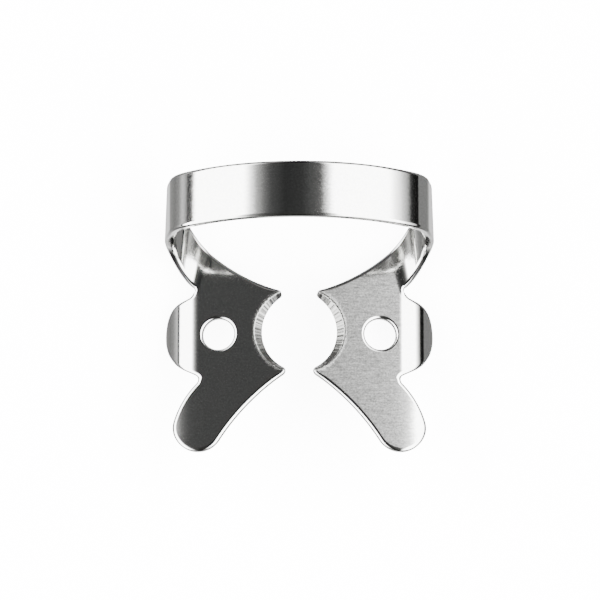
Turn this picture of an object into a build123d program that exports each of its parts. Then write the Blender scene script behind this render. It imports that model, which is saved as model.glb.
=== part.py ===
import os
from math import asin, cos, degrees, radians, sin, tan

from build123d import *

# Rubber dam clamp, stamped from one strip of sprung stainless sheet. Two jaws with holes for the
# forceps grip the tooth between four prongs, and a bow arches over behind them. X runs from jaw to
# jaw, Y from the jaws towards the bow. "Out" is measured from the middle plane, "along" from the
# line of the two holes.

# Sheet
sheet = 0.7                # thickness of the strip
edge_round = 0.18          # radius that tumbling leaves along every rim
bend_round_share = 1.25    # of that radius, along the bends, where the strip is worn a little more
rim_length = 0.8           # edges longer than this are rims, shorter ones cross the sheet

# Bow
bow_width = 4.45           # width of the band
bow_along = 6.75           # near edge of the band
bow_height = 11.6          # crown above the underside of the bends
half_width = 10.6          # outermost point of a side
crown_radius = 13.6        # outer face over the top
shoulder_radius = 3.4      # outer face where the top turns into a side
side_splay = 9.0           # degrees by which a side leans outwards on its way down
bend_radius = 2.5          # inside the bend between a side and its jaw, at the band's near edge
bend_flare = 0.2           # growth of that radius for each millimetre further along

# Jaws
jaw_slope = 8.0            # degrees by which a jaw falls away from the tooth
neck_along = 6.6           # far edge of the neck where the bend begins
neck_far_slope = 42.0      # degrees between that edge and X
neck_near_slope = 64.0     # degrees between the near edge and X, at the notch
notch_along = 3.4          # notch between the neck and the wing
notch_out = 8.4
notch_round = 0.3
hole_out = 6.3
hole_radius = 1.25

# Grip
grip_along = 0.15          # middle of the grip arcs
grip_radius = 3.3
upper_grip_out = 3.7       # deepest point of the arc on the upper face
lower_grip_out = 2.85      # deepest point of the arc on the lower face
grip_round = 0.08          # radius left along the two arcs
far_prong_out = 1.3
far_prong_along = 3.34
near_prong_out = 0.98
near_prong_along = -3.22

# Wings
wing_out = 7.85            # where a wing begins to curl down
wing_radius = 3.2          # upper face of the curl
wing_turn = 72.0           # degrees of curl
wing_root_along = -3.6     # near end of the root; the far end is the notch beside the neck
wing_straight_share = 0.13 # of the curl, over which the far edge stays on the notch
wing_middle_far = 2.6      # outline halfway round and at the tip
wing_middle_near = -2.45
wing_tip_along = 0.4

# Tongues that point away from the bow
tongue_out = 7.87          # centre of the round end
tongue_along = -7.45
tongue_radius = 1.97
tongue_inner_turn = 213.0  # where the round end meets the two long edges
tongue_outer_turn = 15.0

# Where cutting bodies run past what they cut
overrun = 2.0
grip_overrun_share = 0.5   # of the sheet
skin_overrun_share = 0.1   # of the turn of a curl
lean_tolerance = 0.001     # degrees

outer_bend_radius = bend_radius + sheet
bend_turn = 90 + jaw_slope + side_splay
bend_centre = Vector(half_width - outer_bend_radius, 0, outer_bend_radius)
bow_far_along = bow_along + bow_width


# Rounds the rims of a piece of sheet, all but those where it joins its neighbours. Each joint is
# given by a point in the middle of the shared face.
def tumbled(piece, joints, radius=edge_round):
    shared = ShapeList()
    for point in joints:
        shared += piece.faces().sort_by_distance(point)[0].edges()
    rims = [edge for edge in piece.edges() if edge not in shared and edge.length > rim_length]
    return piece.fillet(radius, rims)


# Unit vector in the XZ plane, in degrees up from X
def heading(angle):
    return Vector(cos(radians(angle)), 0, sin(radians(angle)))


# Plane of a jaw on its underside, with the origin on the middle plane
def jaw_plane():
    foot = bend_centre - outer_bend_radius * heading(90 - jaw_slope)
    outwards = heading(-jaw_slope)
    return Plane(foot - outwards * (foot.X / outwards.X), x_dir=outwards, z_dir=heading(90 - jaw_slope))


# Distance down the jaw's slope of a point that lies so far out
def down(out):
    return out / cos(radians(jaw_slope))


# Angle at which the crown hands over to the shoulder, from the closed chain of arcs and side
def crown_turn():
    crown_centre = Vector(0, 0, bow_height - crown_radius)
    reach = crown_radius - shoulder_radius
    offset = (crown_centre - bend_centre).dot(heading(side_splay))
    return degrees(asin((outer_bend_radius - shoulder_radius - offset) / reach)) - side_splay


# Point of the bend's outer skin, by the degrees turned from the jaw and the place along the bow.
# The bend is a cone that touches the jaw and the side.
def bend_point(turned, along):
    growth = bend_flare * (along - bow_along)
    slant = (heading(90 - jaw_slope) + heading(180 + side_splay)) / (1 + cos(radians(bend_turn)))
    centre = bend_centre + growth * slant + Vector(0, along, 0)
    return centre + (outer_bend_radius + growth) * heading(turned - 90 - jaw_slope)


# Arcs of half the crown and a shoulder at a depth under the outer face
def half_section(depth):
    turn = crown_turn()
    crown_centre = Vector(0, 0, bow_height - crown_radius)
    shoulder_centre = crown_centre + (crown_radius - shoulder_radius) * heading(90 - turn)
    crown = crown_radius - depth
    shoulder = shoulder_radius - depth
    return [
        ThreePointArc(*(crown_centre + crown * heading(90 - turn * share) for share in (0, 0.5, 1))),
        ThreePointArc(
            shoulder_centre + shoulder * heading(90 - turn),
            shoulder_centre + shoulder * heading((90 - turn + side_splay) / 2),
            shoulder_centre + shoulder * heading(side_splay),
        ),
    ]


# Band of the bow over one side, down to the side's flat
def half_band():
    outer = half_section(0)
    inner = half_section(sheet)
    ends = [Line(outer[-1] @ 1, inner[-1] @ 1), Line(outer[0] @ 0, inner[0] @ 0)]
    section = make_face(outer + inner + ends)
    band = Pos(0, bow_along, 0) * extrude(section, bow_width, dir=(0, 1, 0))
    rims = band.edges().filter_by(Axis.Y, reverse=True)
    rims = rims.filter_by(lambda edge: edge.length > rim_length)
    return fillet(rims, edge_round)


# Middle of a face that the side shares with its neighbour, between two corners of the outer skin
def side_joint(corner, other_corner):
    return (corner + other_corner) / 2 - heading(side_splay) * (sheet / 2)


# Middle of the face that the neck shares with the bend
def neck_joint():
    return (bend_point(0, notch_along) + bend_point(0, neck_along)) / 2 + heading(90 - jaw_slope) * (sheet / 2)


# Flat of the bow's side, between the shoulder and the bend
def side():
    top = half_section(0)[-1] @ 1
    corners = [
        top + Vector(0, bow_along, 0),
        top + Vector(0, bow_far_along, 0),
        bend_point(bend_turn, bow_far_along),
        bend_point(bend_turn, bow_along),
    ]
    flat = make_face(Polyline(*corners, close=True)).face()
    slab = Solid.thicken(flat, sheet, -heading(side_splay))
    return tumbled(slab, [side_joint(corners[0], corners[1]), side_joint(corners[2], corners[3])])


# Part of a curved skin inside an outline, as thick as the sheet. The outline is drawn as seen
# from outside along a heading, with Y to the right.
def curled(skin, centre, angle, outline, depth):
    view = Plane(centre, x_dir=(0, 1, 0), z_dir=heading(angle))
    trimmed = (skin & extrude(view * outline, depth)).faces()[0]
    outwards = trimmed.normal_at(trimmed.center()).dot(heading(angle))
    return Solid.thicken(trimmed, -sheet if outwards > 0 else sheet)


# Bend between a jaw and its side. It narrows from the neck to the band.
def bend():
    near_arc, far_arc = (
        ThreePointArc(*(bend_point(bend_turn * share, along) for share in (0, 0.5, 1)))
        for along in (notch_along, bow_far_along)
    )
    angle = bend_turn / 2 - 90 - jaw_slope
    view = Plane(bend_centre, x_dir=(0, 1, 0), z_dir=heading(angle))
    seen = lambda turned, along: tuple(view.to_local_coords(bend_point(turned, along)))[:2]
    far_edge = Spline(
        seen(0, neck_along),
        seen(bend_turn, bow_far_along),
        tangents=[(tan(radians(neck_far_slope)), cos(radians(bend_turn / 2))), (0, 1)],
    )
    near_edge = Spline(
        seen(0, notch_along),
        seen(bend_turn, bow_along),
        tangents=[(tan(radians(neck_near_slope)), 1), (0, 1)],
    )
    outline = make_face([far_edge, near_edge, Line(far_edge @ 1, near_edge @ 1), Line(far_edge @ 0, near_edge @ 0)])
    skin = Face.make_surface_from_curves(near_arc.edge(), far_arc.edge())
    bent = curled(skin, bend_centre, angle, outline, overrun * outer_bend_radius)
    top = side_joint(bend_point(bend_turn, bow_along), bend_point(bend_turn, bow_far_along))
    return tumbled(bent, [top, neck_joint()], edge_round * bend_round_share)


# Middle of the face that a jaw shares with its wing
def wing_joint():
    along = (notch_along + wing_root_along) / 2
    return jaw_plane().from_local_coords(Vector(down(wing_out), along, sheet / 2))


# Wing that curls down beside a jaw
def wing():
    root = jaw_plane().from_local_coords(Vector(down(wing_out), 0, sheet))
    centre = root - wing_radius * heading(90 - jaw_slope)
    angle = 90 - jaw_slope - wing_turn / 2
    skin_turn = wing_turn * (1 + skin_overrun_share)
    arc = ThreePointArc(
        *(centre + wing_radius * heading(90 - jaw_slope - skin_turn * share) for share in (0, 0.5, 1))
    )
    reach = overrun * notch_along
    skin = Face.extrude(Pos(0, -reach, 0) * arc, (0, 2 * reach, 0))
    rise = wing_radius * sin(radians(wing_turn / 2))
    straight_rise = wing_radius * sin(radians(wing_turn * (0.5 - wing_straight_share)))
    edge = Spline(
        (notch_along, straight_rise),
        (wing_middle_far, 0),
        (wing_tip_along, -rise),
        (wing_middle_near, 0),
        (wing_root_along, rise),
    )
    corner = (notch_along, rise)
    outline = make_face([edge, Line(edge @ 1, corner), Line(corner, edge @ 0)])
    return tumbled(curled(skin, centre, angle, outline, overrun * wing_radius), [wing_joint()])


# Outline of a jaw in its own plane, without the wing, from the prongs to the bend
def jaw_outline():
    end = Vector(down(tongue_out), tongue_along)
    spoke = lambda angle: Vector(cos(radians(angle)), sin(radians(angle)))
    inner = end + tongue_radius * spoke(tongue_inner_turn)
    outer = end + tongue_radius * spoke(tongue_outer_turn)
    far_prong = (far_prong_out, far_prong_along)
    near_prong = (near_prong_out, near_prong_along)
    neck = (down(bend_point(0, neck_along).X), neck_along)
    notch = (down(bend_point(0, notch_along).X), notch_along)
    wing_near = (down(wing_out), wing_root_along)
    wing_far = (down(wing_out), notch_along)
    return make_face([
        TangentArc(neck, far_prong, tangent=-spoke(neck_far_slope)),
        Line(far_prong, near_prong),
        TangentArc(inner, near_prong, tangent=spoke(tongue_inner_turn - 90)),
        ThreePointArc(inner, end + tongue_radius * spoke((tongue_inner_turn + tongue_outer_turn + 360) / 2), outer),
        TangentArc(outer, wing_near, tangent=spoke(tongue_outer_turn + 90)),
        Line(wing_near, wing_far),
        Line(wing_far, notch),
        Line(notch, neck),
    ])


# Body that cuts the grip, a round bar that slants through the sheet
def grip_cutter():
    slant = Vector(down(upper_grip_out - lower_grip_out), 0, sheet)
    start = Vector(down(lower_grip_out) - grip_radius, grip_along, 0) - slant * grip_overrun_share
    plane = jaw_plane()
    bar = Pos(*start) * Circle(grip_radius)
    reach = slant * (1 + 2 * grip_overrun_share)
    return plane * extrude(bar, reach.length, dir=reach.normalized())


# Round hole square to the jaw
def jaw_hole(out, along, radius):
    place = Pos(down(out), along, sheet / 2)
    return jaw_plane() * place * Cylinder(radius, overrun * sheet)


# Jaw with its bend and wing, on the side of positive X
def half_jaw():
    flat = jaw_plane() * extrude(jaw_outline(), sheet) - jaw_hole(hole_out, 0, hole_radius)
    plate = flat.solid()
    rounded = plate.fillet(edge_round, plate.edges().filter_by(GeomType.CIRCLE))
    gripping = (rounded - grip_cutter()).solid()
    grip_arcs = gripping.edges().filter_by(GeomType.BSPLINE).sort_by(SortBy.LENGTH)[-2:]
    formed = gripping.fillet(grip_round, grip_arcs) + bend() + wing()
    return formed - jaw_hole(notch_out, notch_along, notch_round)


# Half of the clamp, in the frame of its jaws
def half_clamp():
    return half_jaw() + side() + half_band()


# Height of the lowest point of a piece when the clamp leans by so many degrees towards the bow
def lowest(piece, lean):
    return (Rot(-lean, 0, 0) * piece).bounding_box().min.Z


# Lean at which the clamp lies on the edges of its wings and on its bends
def resting_lean():
    flat, steep = 0.0, 45.0
    wing_piece, bend_piece = wing(), bend()
    while steep - flat > lean_tolerance:
        lean = (flat + steep) / 2
        if lowest(wing_piece, lean) < lowest(bend_piece, lean):
            flat = lean
        else:
            steep = lean
    return flat


# Clamp as it comes to rest, centred over the origin
def resting_clamp():
    half = half_clamp()
    leaning = Rot(-resting_lean(), 0, 0) * (half + mirror(half, about=Plane.YZ))
    box = leaning.bounding_box()
    return Pos(-box.center().X, -box.center().Y, -box.min.Z) * leaning


os.makedirs("parts", exist_ok=True)
export_step(resting_clamp().solid(), "parts/clamp.step")
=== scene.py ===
import math

import bpy
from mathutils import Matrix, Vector, geometry, kdtree


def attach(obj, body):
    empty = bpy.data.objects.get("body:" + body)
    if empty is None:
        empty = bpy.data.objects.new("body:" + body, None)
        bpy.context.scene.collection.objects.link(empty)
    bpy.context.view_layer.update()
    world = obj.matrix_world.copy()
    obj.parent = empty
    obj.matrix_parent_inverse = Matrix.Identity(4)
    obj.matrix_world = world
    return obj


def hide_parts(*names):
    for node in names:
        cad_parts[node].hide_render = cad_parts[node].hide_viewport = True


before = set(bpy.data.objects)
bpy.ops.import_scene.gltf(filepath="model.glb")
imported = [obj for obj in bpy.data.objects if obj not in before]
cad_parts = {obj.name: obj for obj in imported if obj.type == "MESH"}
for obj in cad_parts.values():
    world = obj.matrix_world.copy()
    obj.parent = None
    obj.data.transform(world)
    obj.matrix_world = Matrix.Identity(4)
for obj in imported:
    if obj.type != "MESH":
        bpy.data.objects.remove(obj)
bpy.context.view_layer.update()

mm = 0.001

print("stage 1: camera and light")

view = {
    "look": (0.05, 0.33, 3.0),     # mm, point in the middle of the picture
    "lean": -3.3,                  # degrees off straight down, below zero over the bow's side
    "distance": 420.0,             # mm, a copy stand's height over a small part
    "fieldWidth": 47.24,           # mm across the picture at the point looked at
    "sensor": 36.0,                # mm
    "clip": (0.01, 10.0),          # m, nearest and farthest that the camera sees
}
# The studio is a room of softboxes and dark flags that run from tongues to bow, so one row of
# brightness by the angle off overhead describes it, from the left side to the right.
studio = {
    "glow": 18.0,                  # brightness of a softbox
    # degrees off overhead, and the share of that glow there
    "row": [(-180, 0.14), (-150, 0.03), (-120, 0.022), (-104, 0.032), (-97, 0.055), (-92, 0.08),
            (-89, 0.08), (-86, 0.003), (-81.5, 0.0008), (-79.5, 1), (-42, 1), (-37.5, 0.28),
            (-33, 0.056), (-27, 0.018), (-22, 0.007), (-11, 0.003), (2, 0.0038), (10, 0.0078),
            (16.5, 0.0105), (18, 0.03), (22, 0.2), (26, 1), (68, 1), (72.5, 0.45), (79, 0.12),
            (83, 0.05), (85, 0.003), (88.5, 0.0006), (97, 0.0006), (99.5, 0.022), (142, 0.021),
            (180, 0.11)],
    "fadeFrom": 0.62,              # sine of the angle towards tongues or bow where it starts to fade
    "fadeTo": 0.88,                # and where it has faded
    "fadedShare": 0.05,            # of the glow, left from there on
}


def hexColour(code):
    channels = [int(code[i:i + 2], 16) / 255 for i in (1, 3, 5)]
    linear = [c / 12.92 if c <= 0.04045 else ((c + 0.055) / 1.055) ** 2.4 for c in channels]
    return (*linear, 1.0)


def addNode(tree, kind, settings=None, links=None):
    node = tree.nodes.new(kind)
    for key, value in (settings or {}).items():
        if isinstance(key, int) or key in node.inputs:
            node.inputs[key].default_value = value
        else:
            setattr(node, key, value)
    for key, source in (links or {}).items():
        tree.links.new(source, node.inputs[key])
    return node


def addCamera():
    data = bpy.data.cameras.new("copyStandCamera")
    camera = bpy.data.objects.new("copyStandCamera", data)
    bpy.context.scene.collection.objects.link(camera)
    lean = math.radians(view["lean"])
    target = Vector(view["look"]) * mm
    towardsCamera = Vector((0, -math.sin(lean), math.cos(lean)))
    camera.location = target + towardsCamera * view["distance"] * mm
    camera.rotation_euler = (lean, 0, 0)
    data.sensor_width = view["sensor"]
    data.lens = view["sensor"] * view["distance"] / view["fieldWidth"]
    data.clip_start, data.clip_end = view["clip"]
    bpy.context.scene.camera = camera


def addStudio():
    world = bpy.data.worlds.new("softboxRoom")
    bpy.context.scene.world = world
    world.use_nodes = True
    tree = world.node_tree
    tree.nodes.clear()
    coords = addNode(tree, "ShaderNodeTexCoord")
    axes = addNode(tree, "ShaderNodeSeparateXYZ", None, {0: coords.outputs["Generated"]})
    angle = addNode(tree, "ShaderNodeMath", {"operation": "ARCTAN2"},
                    {0: axes.outputs["X"], 1: axes.outputs["Z"]})
    share = addNode(tree, "ShaderNodeMapRange", {"From Min": -math.pi, "From Max": math.pi},
                    {0: angle.outputs[0]})
    ramp = addNode(tree, "ShaderNodeValToRGB", None, {0: share.outputs[0]})
    stops = ramp.color_ramp.elements
    row = [((degrees + 180) / 360, value) for degrees, value in studio["row"]]
    for position, _ in row[1:-1]:
        stops.new(position)
    for stop, (position, value) in zip(stops, row):
        stop.position = position
        stop.color = (value, value, value, 1)
    # the row fades towards tongues and bow
    offRow = addNode(tree, "ShaderNodeMath", {"operation": "ABSOLUTE"}, {0: axes.outputs["Y"]})
    strength = addNode(tree, "ShaderNodeMapRange",
                       {"From Min": studio["fadeFrom"], "From Max": studio["fadeTo"],
                        "To Min": studio["glow"], "To Max": studio["glow"] * studio["fadedShare"]},
                       {0: offRow.outputs[0]})
    light = addNode(tree, "ShaderNodeBackground", None,
                    {"Color": ramp.outputs[0], "Strength": strength.outputs[0]})
    addNode(tree, "ShaderNodeOutputWorld", None, {"Surface": light.outputs[0]})


addCamera()
addStudio()

print("stage 2: floor")

table = {
    "halfWidth": 1.5,              # m, so wide that its edges stay out of sight
    "colour": "#fafafa",
    "lampColour": "#ffffff",       # of the lamps under it
    "glow": 9.0,                   # brightness that they give its face
    "roughness": 0.6,
    "ior": 1.49,
}


def newMaterial(name):
    material = bpy.data.materials.new(name)
    material.use_nodes = True
    material.node_tree.nodes.clear()
    return material, material.node_tree


# Opal acrylic, cast with a satin face and lit from below. To the eye it is pure white, and the
# clamp throws next to no shadow on it.
def backlitOpalAcrylic():
    material, tree = newMaterial("backlitOpalAcrylic")
    shader = addNode(tree, "ShaderNodeBsdfPrincipled",
                     {"Base Color": hexColour(table["colour"]), "Roughness": table["roughness"],
                      "IOR": table["ior"], "Emission Color": hexColour(table["lampColour"]),
                      "Emission Strength": table["glow"]})
    addNode(tree, "ShaderNodeOutputMaterial", None, {"Surface": shader.outputs[0]})
    return material


def addFloor():
    reach = table["halfWidth"]
    corners = [(-reach, -reach, 0), (reach, -reach, 0), (reach, reach, 0), (-reach, reach, 0)]
    mesh = bpy.data.meshes.new("floor")
    mesh.from_pydata(corners, [], [(0, 1, 2, 3)])
    mesh.materials.append(backlitOpalAcrylic())
    floor = bpy.data.objects.new("floor", mesh)
    bpy.context.scene.collection.objects.link(floor)
    floor.visible_glossy = False   # the steel mirrors the room instead
    return floor


floor = addFloor()

print("stage 3: clamp")

# Millimetres and degrees, in the frame of the jaws: X from jaw to jaw, Y towards the bow, with the
# line of the two holes at Y = 0. The strip is laid out flat as (u, y), with u from the middle of
# the jaws out, round the bend or the wing, and up the bow to its crown. "skin" rolls it up.
form = {
    "sheet": 0.7,                  # thickness
    "lean": 17.462,                # tips the jaws' frame to the frame of the floor
    "shift": (-2.57371, 2.15457),  # then moves it along Y and Z
    "jawSlope": 8.0,               # the jaws fall outwards
    "sideSplay": 9.0,              # the bow's sides lean in
    "halfWidth": 10.6,             # from the middle to the outside of a bend
    "bowNear": 6.75,               # edges of the band along Y
    "bowFar": 11.2,
    "bowHeight": 11.6,             # crown above the underside of the bends
    "crownRadius": 13.6,           # outer face, like the shoulder's
    "shoulderRadius": 3.4,
    "sideLength": 1.9,             # laid out, the real one shortens as the bend's radius grows
    "bendRadius": 3.2,             # outer face, at the band's near edge
    "bendFlare": 0.2,              # growth of that radius for each mm along Y
    # degrees round the bend and Y, from the jaw to the band
    "bendFarEdge": [(0, 6.6), (11.1, 7.07), (20.8, 7.5), (29.9, 7.98), (38.3, 8.45),
                    (47.5, 8.98), (58.1, 9.58), (71, 10.28), (87.3, 10.92), (107, 11.2)],
    "bendNearEdge": [(14, 3.84), (18.7, 3.98), (27.9, 4.28), (36.7, 4.63),
                     (46.5, 5.05), (57.8, 5.55), (71.1, 6.08), (87.5, 6.5), (107, 6.69)],
    "notch": 3.4,                  # Y that parts the bend from the wing
    "notchCurve": [(8.71, 3.88), (8.42, 3.64), (8.33, 3.3), (8.72, 3.06)],    # u and y
    "notchSteps": 7,
    "wingNotch": -3.55,            # Y that parts the wing from the tongue
    "wingCurve": [(8.27, -3.22), (7.98, -3.34), (7.9, -3.62), (8.07, -3.88)],
    "wingOut": 7.85,               # X at which the wings start
    "wingRadius": 3.2,
    # degrees round the wing's curl and Y, from the bend's notch to the tongue's
    "wingEdge": [(14.2, 3.06), (21.9, 2.9), (31, 2.75), (39, 2.58), (47, 2.35), (53.5, 2.08),
                 (60, 1.72), (66, 1.27), (70.5, 0.72), (71.9, 0.2), (70.5, -0.28), (65.9, -0.72),
                 (58.9, -1.25), (54.4, -1.5), (46.2, -1.93), (37, -2.36), (25, -2.76),
                 (14, -3.03), (6, -3.22)],
    "tongueEnd": (7.87, -7.45),    # X and Y of the middle of the round end
    "tongueRadius": 1.97,
    "tongueTurns": (213.0, 15.0),  # where that end meets the tongue's inner and outer side
    "tongueSteps": 40,
    "tongueDroop": 12.0,           # slope of a tongue's outer edge, which the wing takes down with it
    "droopReach": 0.55,            # mm in which it fades
    "neckSlope": 42.0,             # heading of the jaw's edge where the bend starts
    "farProng": (1.3, 3.34),       # u and y of the prongs' sharp corners, before they are rounded
    "nearProng": (0.98, -3.22),
    "prongLength": 0.34,           # rounded off at each prong
    "prongSteps": 9,
    "gripRadius": 3.3,
    "gripAlong": 0.15,             # Y of the middle of the grip's arcs
    "gripLower": 2.82,             # how far out they lie on the lower face
    "gripUpper": 3.47,             # and on the upper
    "gripSteps": 64,
    "hole": (6.3, 0.0),            # X and Y of its middle
    "holeRadius": 1.25,
    "holeSteps": 72,
    "rim": 0.24,                   # depth of the rims, worn round by tumbling
    "jawSpread": 1.25,             # the rims reach farther in than down, by this
    "bowSpread": 1.15,
    "gripRims": (0.09, 0.2),       # lower and upper edge of the grip
    "prongRims": (0.104, 0.13),
    "rimSteps": 6,
    "rimBlend": 5,                 # points to either side over which one rim runs into the next
    "groundSlant": 0.1,            # a wall that leans out by more than this has been ground
    "pitch": 0.14,                 # between points of an outline
    "across": 0.16,                # between points of a face, along the strip and across it
    "along": 0.3,
    "clearance": 0.09,             # between those points and the rims
}


# Directions by their angle, upright in the plane of X and Z, and in the sheet laid out
def heading(angle):
    return Vector((math.cos(math.radians(angle)), 0, math.sin(math.radians(angle))))


def spoke(angle):
    return Vector((math.cos(math.radians(angle)), math.sin(math.radians(angle))))


jawSlope, sideSplay = form["jawSlope"], form["sideSplay"]
bendRadius, crownRadius = form["bendRadius"], form["crownRadius"]
shoulderRadius = form["shoulderRadius"]

jawUp = heading(90 - jawSlope)
jawOut = heading(-jawSlope)
downScale = 1 / math.cos(math.radians(jawSlope))
bendTurn = 90 + jawSlope + sideSplay
bendCentre = Vector((form["halfWidth"] - bendRadius, 0, bendRadius))
jawFoot = bendCentre - bendRadius * jawUp
jawOrigin = jawFoot - jawOut * (jawFoot.x / jawOut.x)
crownCentre = Vector((0, 0, form["bowHeight"] - crownRadius))
crownArm = crownRadius - shoulderRadius
sideGap = bendRadius - shoulderRadius - (crownCentre - bendCentre).dot(heading(sideSplay))
crownTurn = math.degrees(math.asin(sideGap / crownArm)) - sideSplay
shoulderCentre = crownCentre + crownArm * heading(90 - crownTurn)
sideTop = shoulderCentre + shoulderRadius * heading(sideSplay)
# where each stretch of the strip starts or ends along u
bendStart = form["wingOut"] * downScale
bendEnd = bendStart + bendRadius * math.radians(bendTurn)
sideEnd = bendEnd + form["sideLength"]
shoulderEnd = sideEnd + shoulderRadius * math.radians(90 - crownTurn - sideSplay)
crownEnd = shoulderEnd + crownRadius * math.radians(crownTurn)
holeMiddle = Vector((form["hole"][0] * downScale, form["hole"][1]))
holeReach = form["holeRadius"] + form["rim"]    # to the outside of its rim


# The bend is a cone that touches the flat jaw and the flat side
def bendPoint(turned, y):
    growth = form["bendFlare"] * (y - form["bowNear"])
    slant = (jawUp + heading(180 + sideSplay)) / (1 + math.cos(math.radians(bendTurn)))
    arm = (bendRadius + growth) * heading(turned - 90 - jawSlope)
    return bendCentre + growth * slant + Vector((0, y, 0)) + arm


# Laid out, the jaw is widened beyond the notch so that the bend starts at one u
def neckScale(y):
    return bendPoint(0, y).x * downScale / bendStart if y > form["notch"] else 1


# Slope by which the outer edge of a tongue bends down
def droop(u):
    edge = (form["tongueEnd"][0] + form["tongueRadius"]) * downScale
    return math.tan(math.radians(form["tongueDroop"])) * math.exp((u - edge) / form["droopReach"])


# Place of a laid out point on the outer skin: tongue, jaw, wing, bend, side, shoulder or crown
def place(u, y):
    along = Vector((0, y, 0))
    if y <= form["wingNotch"]:
        return jawOrigin + jawOut * u - jawUp * droop(u) * form["droopReach"] + along
    if u <= bendStart:
        return jawOrigin + jawOut * u * neckScale(y) + along
    if y <= form["notch"]:
        root = jawOrigin + jawOut * bendStart + jawUp * (form["sheet"] - form["wingRadius"]) + along
        turned = math.degrees((u - bendStart) / form["wingRadius"])
        return root + (form["wingRadius"] - form["sheet"]) * heading(90 - jawSlope - turned)
    if u <= bendEnd:
        return bendPoint(bendTurn * (u - bendStart) / (bendEnd - bendStart), y)
    if u <= sideEnd:
        return bendPoint(bendTurn, y).lerp(sideTop + along, (u - bendEnd) / form["sideLength"])
    if u <= shoulderEnd:
        turned = sideSplay + math.degrees((u - sideEnd) / shoulderRadius)
        return shoulderCentre + shoulderRadius * heading(turned) + along
    turned = 90 - crownTurn + math.degrees((u - shoulderEnd) / crownRadius)
    return crownCentre + crownRadius * heading(turned) + along


# Point on the outer skin, which is the underside of a jaw and the top of the bow, and the
# direction through the sheet
def skin(u, y):
    step = 0.002                   # mm, short enough to give the slope at one point
    if y <= form["wingNotch"]:
        return place(u, y), (jawUp + jawOut * droop(u)).normalized()
    if u <= bendStart:
        return place(u, y), jawUp
    if y <= form["notch"]:
        return place(u, y), heading(90 - jawSlope - math.degrees((u - bendStart) / form["wingRadius"]))
    ahead = place(min(u + step, crownEnd), y) - place(u - step, y)
    return place(u, y), ahead.cross(place(u, y + step) - place(u, y)).normalized()


def laidOut(x, y):
    return Vector((x / neckScale(y), y))


def bendU(turned):
    return bendStart + (bendEnd - bendStart) * turned / bendTurn


def wingU(turned):
    return bendStart + form["wingRadius"] * math.radians(turned)


def line(start, end, pitch):
    start, end = Vector(start), Vector(end)
    count = max(2, round((end - start).length / pitch))
    return [start.lerp(end, i / count) for i in range(count + 1)]


# Arc that leaves a point along a tangent and ends at another point
def arcFrom(start, tangent, end, pitch):
    chord = end - start
    half = math.atan2(tangent.x * chord.y - tangent.y * chord.x, tangent.dot(chord))
    radius = chord.length / (2 * math.sin(half))
    centre = start + Vector((-tangent.y, tangent.x)) * radius
    count = max(3, round(abs(2 * half * radius) / pitch))
    points = []
    for i in range(count + 1):
        turn = 2 * half * i / count
        arm = start - centre
        points.append(centre + Vector((arm.x * math.cos(turn) - arm.y * math.sin(turn),
                                       arm.x * math.sin(turn) + arm.y * math.cos(turn))))
    return points


def circleArc(centre, radius, first, last, count):
    return [centre + radius * spoke(first + (last - first) * i / count) for i in range(count + 1)]


# Smooth curve that passes through each of the points
def smoothThrough(points, pitch):
    points = [Vector(p) for p in points]
    ends = [2 * points[0] - points[1], *points, 2 * points[-1] - points[-2]]
    out = []
    for a, b, c, d in zip(ends, ends[1:], ends[2:], ends[3:]):
        count = max(1, round((c - b).length / pitch))
        for i in range(count):
            t = i / count
            out.append(0.5 * (2 * b + (c - a) * t + (2 * a - 5 * b + 4 * c - d) * t * t
                              + (3 * b - a - 3 * c + d) * t ** 3))
    return out + [points[-1]]


def bezier(a, b, c, d, count):
    a, b, c, d = (Vector(p) for p in (a, b, c, d))
    steps = [i / count for i in range(count + 1)]
    return [a * (1 - t) ** 3 + 3 * b * t * (1 - t) ** 2 + 3 * c * t * t * (1 - t) + d * t ** 3
            for t in steps]


def trimmed(points, length):
    kept = list(points)
    while (kept[-1] - points[-1]).length < length:
        kept.pop()
    return kept


# Edge of the grip at one face of the sheet, as rounded near prong, arc and rounded far prong
def gripEdge(out, farEnd, nearEnd):
    radius, steps = form["gripRadius"], form["prongSteps"]
    centre = Vector((out * downScale - radius, form["gripAlong"]))
    far, near = Vector(form["farProng"]), Vector(form["nearProng"])
    chord = (near - far).normalized()
    middle = (centre - far).dot(chord)
    reach = math.sqrt(radius ** 2 - (centre - far).length_squared + middle ** 2)
    corners = [far + chord * (middle + side * reach) for side in (-1, 1)]
    turns = [math.degrees(math.atan2(c.y - centre.y, c.x - centre.x)) for c in corners]
    spare = math.degrees(form["prongLength"] / radius)
    arc = circleArc(centre, radius, turns[0] - spare, turns[1] + spare, form["gripSteps"])
    farProng = bezier(farEnd, far, corners[0], arc[0], steps)[1:]
    nearProng = bezier(arc[-1], corners[1], near, nearEnd, steps)[:-1]
    return [part[::-1] for part in (nearProng, arc[1:-1], farProng)]


# Entries of an outline: the point on the outer skin, the one on the inner, the depths of the two
# rims, and how much farther in than down they reach
def rimmed(points):
    entries = []
    for p in points:
        spread = form["jawSpread"] if p.x < bendStart or p.y < form["notch"] else form["bowSpread"]
        entries.append((p, p, form["rim"], form["rim"], spread))
    return entries


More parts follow.
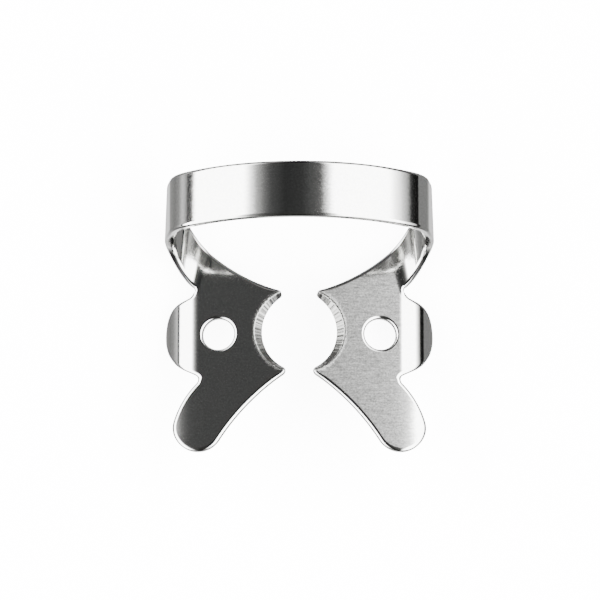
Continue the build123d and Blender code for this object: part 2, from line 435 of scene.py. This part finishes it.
# Outline of half the clamp, from the middle of the bow's near edge round to its far edge
def outline():
    pitch = form["pitch"]
    bowNear = line((crownEnd, form["bowNear"]), (sideEnd, form["bowNear"]), pitch)
    nearPoints = [(bendU(turned), y) for turned, y in form["bendNearEdge"][::-1]]
    bendNear = smoothThrough([(sideEnd, form["bowNear"]), *nearPoints], pitch)
    notch = bezier(*form["notchCurve"], form["notchSteps"])
    wing = smoothThrough([(wingU(turned), y) for turned, y in form["wingEdge"]], pitch)
    wingNotch = bezier(*form["wingCurve"], form["notchSteps"])

    endMiddle = Vector((form["tongueEnd"][0] * downScale, form["tongueEnd"][1]))
    innerTurn, outerTurn = form["tongueTurns"]
    inner, outer = (endMiddle + form["tongueRadius"] * spoke(turn) for turn in form["tongueTurns"])
    tongueOut = arcFrom(outer, spoke(outerTurn + 90), Vector(form["wingCurve"][-1]), pitch)[::-1]
    tongueEnd = circleArc(endMiddle, form["tongueRadius"], outerTurn, innerTurn - 360, form["tongueSteps"])
    tongueIn = arcFrom(inner, spoke(innerTurn - 90), Vector(form["nearProng"]), pitch)
    tongueIn = trimmed(tongueIn, form["prongLength"])

    neckY = form["bendFarEdge"][0][1]
    neck = Vector((bendStart * neckScale(neckY), neckY))
    jawFar = arcFrom(neck, -spoke(form["neckSlope"]), Vector(form["farProng"]), pitch)
    jawFar = trimmed(jawFar, form["prongLength"])
    bendFar = smoothThrough([(bendU(turned), y) for turned, y in form["bendFarEdge"]], pitch)
    bowFar = line((bendEnd, form["bowFar"]), (crownEnd, form["bowFar"]), pitch)

    chain = rimmed(bowNear + bendNear[1:-1] + notch[:-1] + wing[:-1] + wingNotch
                   + tongueOut[1:] + tongueEnd[1:] + tongueIn[1:])
    lower = gripEdge(form["gripLower"], jawFar[-1], tongueIn[-1])
    upper = gripEdge(form["gripUpper"], jawFar[-1], tongueIn[-1])
    rims = (form["prongRims"], form["gripRims"], form["prongRims"])
    for lowPart, highPart, radii in zip(lower, upper, rims):
        chain += [(low, high, *radii, 1) for low, high in zip(lowPart, highPart)]
    return chain + rimmed([laidOut(*p) for p in jawFar[::-1]] + bendFar[1:] + bowFar[1:])


# Evens out depths and reach along an outline, so that one rim runs into the next
def blended(chain):
    reach = form["rimBlend"]
    out = []
    for i, (low, high, *_) in enumerate(chain):
        near = chain[max(0, i - reach):i + reach + 1]
        out.append((low, high, *(sum(entry[k] for entry in near) / len(near) for k in (2, 3, 4))))
    return out


# Section through a rim, as points out of the edge and up through the sheet, each with the angle
# that the surface faces. The wall between the two round edges leans out by the slant.
def rimSection(lowRim, highRim, slant, spread):
    sheet, steps = form["sheet"], form["rimSteps"]
    wall = Vector((sheet, slant)).normalized()
    wallTurn = math.degrees(math.atan2(wall.y, wall.x))
    low = Vector((-lowRim * (1 + wall.y) / wall.x, lowRim))
    high = Vector(((-highRim - (sheet - highRim) * wall.y) / wall.x, sheet - highRim))
    section = []
    for centre, radius, first, last in ((low, lowRim, -90, wallTurn), (high, highRim, wallTurn, 90)):
        for k in range(steps + 1):
            turn = math.radians(first + (last - first) * k / steps)
            spot = centre + radius * Vector((math.cos(turn), math.sin(turn)))
            spot.x *= spread
            section.append((spot, turn))
    return section


# Stretches of a level line that lie inside a closed outline
def spans(edge, y):
    sides = [(a, b) for a, b in zip(edge, edge[1:] + edge[:1]) if (a.y > y) != (b.y > y)]
    crossings = sorted(a.x + (b.x - a.x) * (y - a.y) / (b.y - a.y) for a, b in sides)
    return zip(crossings[::2], crossings[1::2])


# Each point keeps its normal, its place laid out, how far along the outline it lies and whether
# the wall there is ground
class Sheet:
    def __init__(self):
        self.points, self.normals, self.laid = [], [], []
        self.runs, self.ground, self.faces = [], [], []

    def add(self, point, normal, laid, run=0.0, ground=0.0):
        self.points.append(point)
        self.normals.append(normal)
        self.laid.append(laid)
        self.runs.append(run)
        self.ground.append(ground)
        return len(self.points) - 1

    # Rounded rim along an outline, as rows of points from the outer skin round to the inner one
    def addRim(self, chain, closed):
        step = 0.02                # mm, long enough to measure how rolling up stretches the layout
        rows, count, run = [], len(chain), 0.0
        middles = [(low + high) / 2 for low, high, *_ in chain]
        for i, (low, high, lowRim, highRim, spread) in enumerate(chain):
            ahead = middles[(i + 1) % count] if closed else middles[min(i + 1, count - 1)]
            behind = middles[i - 1] if closed else middles[max(i - 1, 0)]
            tangent = (ahead - behind).normalized()
            inward = Vector((tangent.y, -tangent.x))
            base, through = skin(*low)
            stretch = (place(*(low + inward * step)) - base) / step
            outward = -(stretch - stretch.dot(through) * through).normalized()
            slant = (high - low).dot(inward) * stretch.length
            ground = 1.0 if abs(slant) > form["groundSlant"] else 0.0
            run += (middles[i] - behind).length
            row = []
            for spot, turn in rimSection(lowRim, highRim, slant, spread):
                share = spot.y / form["sheet"]
                laid = low + (high - low) * share - inward * (spot.x + slant * share) / stretch.length
                base, through = skin(*laid)
                normal = (math.cos(turn) / spread * outward + math.sin(turn) * through).normalized()
                row.append(self.add(base + through * spot.y, normal, laid, run, ground))
            rows.append(row)
        for i in range(count if closed else count - 1):
            here, there = rows[i], rows[(i + 1) % count]
            for k in range(len(here) - 1):
                self.faces.append((here[k], there[k], there[k + 1], here[k + 1]))
        return rows

    # Fills one face of the sheet between the rims, at this depth through the sheet
    def fill(self, loop, hole, depth):
        ring = [self.laid[i] for i in loop]
        holeEdge = [self.laid[i] for i in hole]
        nearY, farY = ring[0].y, ring[-1].y
        across, along = form["across"], form["along"]
        rowCount = round((farY - nearY) / along)
        # the ring is closed along the middle of the crown
        crown = [Vector((crownEnd, farY + (nearY - farY) * k / rowCount)) for k in range(1, rowCount)]
        edge = ring + crown
        tree = kdtree.KDTree(len(edge) + len(holeEdge))
        for i, p in enumerate(edge + holeEdge):
            tree.insert((*p, 0), i)
        tree.balance()

        inside = []
        belowCount = math.ceil((nearY - min(p.y for p in ring)) / along)
        rows = [nearY + along * k for k in range(1, rowCount)]
        rows += [nearY - along * k for k in range(belowCount)]
        for y in rows:
            for left, right in spans(edge, y):
                for k in range(math.ceil(left / across), math.floor(right / across) + 1):
                    spot = Vector((k * across, y))
                    clear = tree.find((*spot, 0))[2] > form["clearance"]
                    if clear and (spot - holeMiddle).length > holeReach:
                        inside.append(spot)

        flat = edge + holeEdge + inside
        n, m = len(edge), len(holeEdge)
        links = [(i, (i + 1) % n) for i in range(n)] + [(n + i, n + (i + 1) % m) for i in range(m)]
        withinLinks, tolerance = 1, 1e-5
        filled = geometry.delaunay_2d_cdt(flat, links, [], withinLinks, tolerance)
        spots, triangles, sources = filled[0], filled[2], filled[3]
        facing = 1 if depth > 0 else -1
        index = []
        for spot, source in zip(spots, sources):
            # a far prong's upper rim crosses itself, and the crossing takes the nearest point of it
            old = source[0] if source else tree.find((*spot, 0))[1]
            if old < len(ring):
                index.append(loop[old])
            elif n <= old < n + m:
                index.append(hole[old - n])
            else:
                base, through = skin(*flat[old])
                index.append(self.add(base + through * depth, through * facing, flat[old]))
        for triangle in triangles:
            corners = tuple(index[i] for i in triangle)
            middle = sum((spots[i] for i in triangle), Vector((0, 0))) / 3
            if len(set(corners)) == 3 and (middle - holeMiddle).length > holeReach:
                self.faces.append(corners)


def rightHalf():
    half = Sheet()
    edgeRows = half.addRim(blended(outline()), closed=False)
    holeEdge = circleArc(holeMiddle, form["holeRadius"], 0, 360, form["holeSteps"])[:-1]
    holeRows = half.addRim([(p, p, form["rim"], form["rim"], 1) for p in holeEdge], closed=True)
    half.fill([row[0] for row in edgeRows], [row[0] for row in holeRows], 0)
    half.fill([row[-1] for row in edgeRows], [row[-1] for row in holeRows], form["sheet"])
    return half


# From the frame of the jaws to that of the floor
def tipped(v):
    lean = math.radians(form["lean"])
    return Vector((v.x, math.cos(lean) * v.y + math.sin(lean) * v.z,
                   math.cos(lean) * v.z - math.sin(lean) * v.y))


# Both halves in one mesh, in metres and as the clamp lies
def bothHalves(half):
    moved = [tipped(p) + Vector((0, *form["shift"])) for p in half.points]
    normals = [tipped(n) for n in half.normals]
    faces = []
    for face in half.faces:
        a, b, c = (moved[i] for i in face[:3])
        facing = sum((normals[i] for i in face), Vector())
        faces.append(face if (b - a).cross(c - a).dot(facing) > 0 else face[::-1])

    points = [p * mm for p in moved]
    sources = [*range(len(points))]
    mirror = Vector((-1, 1, 1))
    shared = 1e-7                  # m, points this near to X = 0 belong to both halves
    twins = []
    for i in range(len(moved)):
        if abs(points[i].x) < shared:
            twins.append(i)
        else:
            twins.append(len(points))
            points.append(points[i] * mirror)
            normals.append(normals[i] * mirror)
            sources.append(i)
    faces += [tuple(twins[i] for i in reversed(face)) for face in faces]

    mesh = bpy.data.meshes.new("clampSheet")
    mesh.from_pydata(points, [], faces)
    mesh.polygons.foreach_set("use_smooth", [True] * len(faces))
    for name, values in (("run", half.runs), ("ground", half.ground)):
        attribute = mesh.attributes.new(name, "FLOAT", "POINT")
        attribute.data.foreach_set("value", [values[i] for i in sources])
    mesh.normals_split_custom_set_from_vertices(normals)
    return mesh


clampMesh = bothHalves(rightHalf())
clamp = bpy.data.objects.new("clampSheet", clampMesh)
bpy.context.scene.collection.objects.link(clamp)
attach(clamp, "root")
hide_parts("clamp")
print("clamp faces", len(clampMesh.polygons))

print("stage 4: steel")

steel = {
    "colour": "#d4d4d2",
    "pitColour": "#b0b0ae",        # between the peaks that the tumbling has polished
    "roughness": 0.08,
    "streakWidth": 0.12,           # mm, the real ones are finer and would vanish at this size
    "streakLength": 4.0,           # mm
    "streakTilt": 0.01,            # share of the normal that a streak turns it by
    "speckle": 0.15,               # mm, dents of the tumbling stones, drawn coarser than the real ones
    "speckleTilt": 0.006,
    "scratch": 0.17,               # mm, grinding marks across the grip, drawn coarser too
    "scratchTilt": 0.26,
    "groundShadeColour": "#747472",     # the furrows of the grip's wall shade each other
    "groundRoughness": 0.28,
}


# Stainless spring steel, cold rolled, stamped and tumbled bright with fine stones. To the eye it is
# a soft mirror: reflections are clear with a slightly blurred edge, broken up by faint streaks and
# speckles. The grip's wall is ground across, which leaves it dull and furrowed, and its colour is
# darkened there by painted shade of the furrows.
def tumbledStainlessSteel():
    material, tree = newMaterial("tumbledStainlessSteel")
    coords = addNode(tree, "ShaderNodeTexCoord")
    # fine streaks from jaw to jaw, left by the rolling of the strip
    lengthwise, widthwise = 1 / (steel["streakLength"] * mm), 1 / (steel["streakWidth"] * mm)
    stretched = addNode(tree, "ShaderNodeMapping", {"Scale": (lengthwise, widthwise, widthwise)},
                        {"Vector": coords.outputs["Object"]})
    streaks = addNode(tree, "ShaderNodeTexNoise", {"Scale": 1.0, "Detail": 2.0},
                      {"Vector": stretched.outputs[0]})
    fine = addNode(tree, "ShaderNodeMapping", {"Scale": (1 / (steel["speckle"] * mm),) * 3},
                   {"Vector": coords.outputs["Object"]})
    speckles = addNode(tree, "ShaderNodeTexNoise", {"Scale": 1.0, "Detail": 1.0},
                       {"Vector": fine.outputs[0]})
    # grinding marks across the slanting wall of the grip only
    run = addNode(tree, "ShaderNodeAttribute", {"attribute_name": "run"})
    ground = addNode(tree, "ShaderNodeAttribute", {"attribute_name": "ground"})
    marks = addNode(tree, "ShaderNodeTexNoise",
                    {"noise_dimensions": "1D", "Scale": 1 / steel["scratch"], "Detail": 1.0},
                    {"W": run.outputs["Fac"]})
    markTilt = addNode(tree, "ShaderNodeMath", {"operation": "MULTIPLY", 1: 2 * steel["scratchTilt"]},
                       {0: ground.outputs["Fac"]})
    # each pattern turns the normal a little, by its colour less middle grey
    normal = addNode(tree, "ShaderNodeNewGeometry").outputs["Normal"]
    patterns = ((streaks, {"Scale": 2 * steel["streakTilt"]}, {}),
                (speckles, {"Scale": 2 * steel["speckleTilt"]}, {}),
                (marks, {}, {"Scale": markTilt.outputs[0]}))
    for pattern, settings, links in patterns:
        centred = addNode(tree, "ShaderNodeVectorMath", {"operation": "SUBTRACT", 1: (0.5, 0.5, 0.5)},
                          {0: pattern.outputs["Color"]})
        tilt = addNode(tree, "ShaderNodeVectorMath", {"operation": "SCALE", **settings},
                       {0: centred.outputs[0], **links})
        turned = addNode(tree, "ShaderNodeVectorMath", {"operation": "ADD"},
                         {0: normal, 1: tilt.outputs[0]})
        normal = turned.outputs[0]
    unit = addNode(tree, "ShaderNodeVectorMath", {"operation": "NORMALIZE"}, {0: normal})
    # colours enter a Mix at its inputs 6 and 7 and leave at its output 2
    tint = addNode(tree, "ShaderNodeMix",
                   {"data_type": "RGBA", 6: hexColour(steel["pitColour"]), 7: hexColour(steel["colour"])},
                   {0: speckles.outputs["Fac"]})
    # painted shade: the ground wall's colour is darkened to stand in for its furrows shading each other
    tint = addNode(tree, "ShaderNodeMix", {"data_type": "RGBA", 7: hexColour(steel["groundShadeColour"])},
                   {0: ground.outputs["Fac"], 6: tint.outputs[2]})
    rough = addNode(tree, "ShaderNodeMapRange",
                    {"To Min": steel["roughness"], "To Max": steel["groundRoughness"]},
                    {0: ground.outputs["Fac"]})
    shader = addNode(tree, "ShaderNodeBsdfPrincipled", {"Metallic": 1.0},
                     {"Base Color": tint.outputs[2], "Roughness": rough.outputs[0],
                      "Normal": unit.outputs[0]})
    addNode(tree, "ShaderNodeOutputMaterial", None, {"Surface": shader.outputs[0]})
    return material


clampMesh.materials.append(tumbledStainlessSteel())
# the solid that this mesh stands for gets the same finish
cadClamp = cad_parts["clamp"]
cadClamp.data.materials.clear()
cadClamp.data.materials.append(clampMesh.materials[0])
